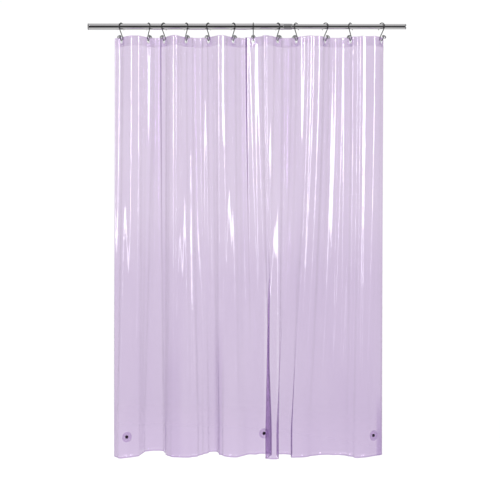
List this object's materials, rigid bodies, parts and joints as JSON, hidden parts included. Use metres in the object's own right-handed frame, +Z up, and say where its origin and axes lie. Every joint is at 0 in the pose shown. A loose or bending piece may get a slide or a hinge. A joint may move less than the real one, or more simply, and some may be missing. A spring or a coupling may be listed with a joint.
{
  "type": "shower curtain",
  "caption": "Clear film shower curtain on wire hooks along a telescoping chrome rod, with magnets in the hem.",
  "frame": {"origin": "centre of the rod's left end face", "axes": "+X along the rod to its right end, +Z up, -Y towards the side seen from the room"},
  "size_m": [1.391, 0.1763, 1.8915],
  "materials": {
    "chrome": "polished chrome",
    "hook_chrome": "polished chrome wire",
    "nickel": "satin nickel",
    "bush": "metallised plastic",
    "plug": "moulded",
    "film": "clear lilac vinyl film",
    "magnet": "black ferrite"
  },
  "bodies": {
    "rod": {"rod_plug_left": "plug", "rod_outer_tube": "chrome", "rod_bush": "bush"},
    "rod_inner": {"rod_inner_tube": "chrome", "rod_plug_right": "plug", "rod_lock_spigot": "plug", "rod_grip_ring": "plug"},
    "curtain": {"curtain_sheet": "film", "header_strip": "film", "hook_wire_01": "hook_chrome", "hook_knob_01": "hook_chrome", "eyelet_01": "nickel", "magnet_left": "magnet", "magnet_cover_left": "film", "magnet_middle": "magnet", "magnet_cover_middle": "film", "magnet_right": "magnet", "magnet_cover_right": "film"},
    "hook_02": {"hook_wire_02": "hook_chrome", "hook_knob_02": "hook_chrome", "eyelet_02": "nickel"},
    "hook_03": {"hook_wire_03": "hook_chrome", "hook_knob_03": "hook_chrome", "eyelet_03": "nickel"},
    "hook_04": {"hook_wire_04": "hook_chrome", "hook_knob_04": "hook_chrome", "eyelet_04": "nickel"},
    "hook_05": {"hook_wire_05": "hook_chrome", "hook_knob_05": "hook_chrome", "eyelet_05": "nickel"},
    "hook_06": {"hook_wire_06": "hook_chrome", "hook_knob_06": "hook_chrome", "eyelet_06": "nickel"},
    "hook_07": {"hook_wire_07": "hook_chrome", "hook_knob_07": "hook_chrome", "eyelet_07": "nickel"},
    "hook_08": {"hook_wire_08": "hook_chrome", "hook_knob_08": "hook_chrome", "eyelet_08": "nickel"},
    "hook_09": {"hook_wire_09": "hook_chrome", "hook_knob_09": "hook_chrome", "eyelet_09": "nickel"},
    "hook_10": {"hook_wire_10": "hook_chrome", "hook_knob_10": "hook_chrome", "eyelet_10": "nickel"},
    "hook_11": {"hook_wire_11": "hook_chrome", "hook_knob_11": "hook_chrome", "eyelet_11": "nickel"},
    "hook_12": {"hook_wire_12": "hook_chrome", "hook_knob_12": "hook_chrome", "eyelet_12": "nickel"}
  },
  "joints": [
    {"name": "rod_extend", "type": "slide", "parent": "rod", "child": "rod_inner", "axis": [1, 0, 0], "range_m": [-0.06, 0.438]},
    {"name": "curtain_swing", "type": "hinge", "parent": "rod", "child": "curtain", "pos_m": [0, 0, 0], "axis": [1, 0, 0], "range_deg": [-20, 20]},
    {"name": "curtain_draw", "type": "slide", "parent": "curtain", "child": "hook_12", "axis": [-1, 0, 0], "range_m": [0, 0.478], "deforming": ["curtain_sheet", "header_strip", "magnet_left", "magnet_cover_left", "magnet_middle", "magnet_cover_middle", "magnet_right", "magnet_cover_right"]},
    {"name": "hook_02_slide", "type": "slide", "parent": "curtain", "child": "hook_02", "axis": [-1, 0, 0], "range_m": [0, 0.0504]},
    {"name": "hook_03_slide", "type": "slide", "parent": "curtain", "child": "hook_03", "axis": [-1, 0, 0], "range_m": [0, 0.0786]},
    {"name": "hook_04_slide", "type": "slide", "parent": "curtain", "child": "hook_04", "axis": [-1, 0, 0], "range_m": [0, 0.1197]},
    {"name": "hook_05_slide", "type": "slide", "parent": "curtain", "child": "hook_05", "axis": [-1, 0, 0], "range_m": [0, 0.1604]},
    {"name": "hook_06_slide", "type": "slide", "parent": "curtain", "child": "hook_06", "axis": [-1, 0, 0], "range_m": [0, 0.2061]},
    {"name": "hook_07_slide", "type": "slide", "parent": "curtain", "child": "hook_07", "axis": [-1, 0, 0], "range_m": [0, 0.2426]},
    {"name": "hook_08_slide", "type": "slide", "parent": "curtain", "child": "hook_08", "axis": [-1, 0, 0], "range_m": [0, 0.288]},
    {"name": "hook_09_slide", "type": "slide", "parent": "curtain", "child": "hook_09", "axis": [-1, 0, 0], "range_m": [0, 0.3215]},
    {"name": "hook_10_slide", "type": "slide", "parent": "curtain", "child": "hook_10", "axis": [-1, 0, 0], "range_m": [0, 0.3753]},
    {"name": "hook_11_slide", "type": "slide", "parent": "curtain", "child": "hook_11", "axis": [-1, 0, 0], "range_m": [0, 0.421]}
  ],
  "couplings": [
    {"joint": "hook_02_slide", "follows": "curtain_draw", "ratio": 0.10448},
    {"joint": "hook_03_slide", "follows": "curtain_draw", "ratio": 0.1633},
    {"joint": "hook_04_slide", "follows": "curtain_draw", "ratio": 0.24934},
    {"joint": "hook_05_slide", "follows": "curtain_draw", "ratio": 0.3345},
    {"joint": "hook_06_slide", "follows": "curtain_draw", "ratio": 0.4302},
    {"joint": "hook_07_slide", "follows": "curtain_draw", "ratio": 0.50658},
    {"joint": "hook_08_slide", "follows": "curtain_draw", "ratio": 0.6014},
    {"joint": "hook_09_slide", "follows": "curtain_draw", "ratio": 0.67164},
    {"joint": "hook_10_slide", "follows": "curtain_draw", "ratio": 0.78402},
    {"joint": "hook_11_slide", "follows": "curtain_draw", "ratio": 0.87972}
  ]
}
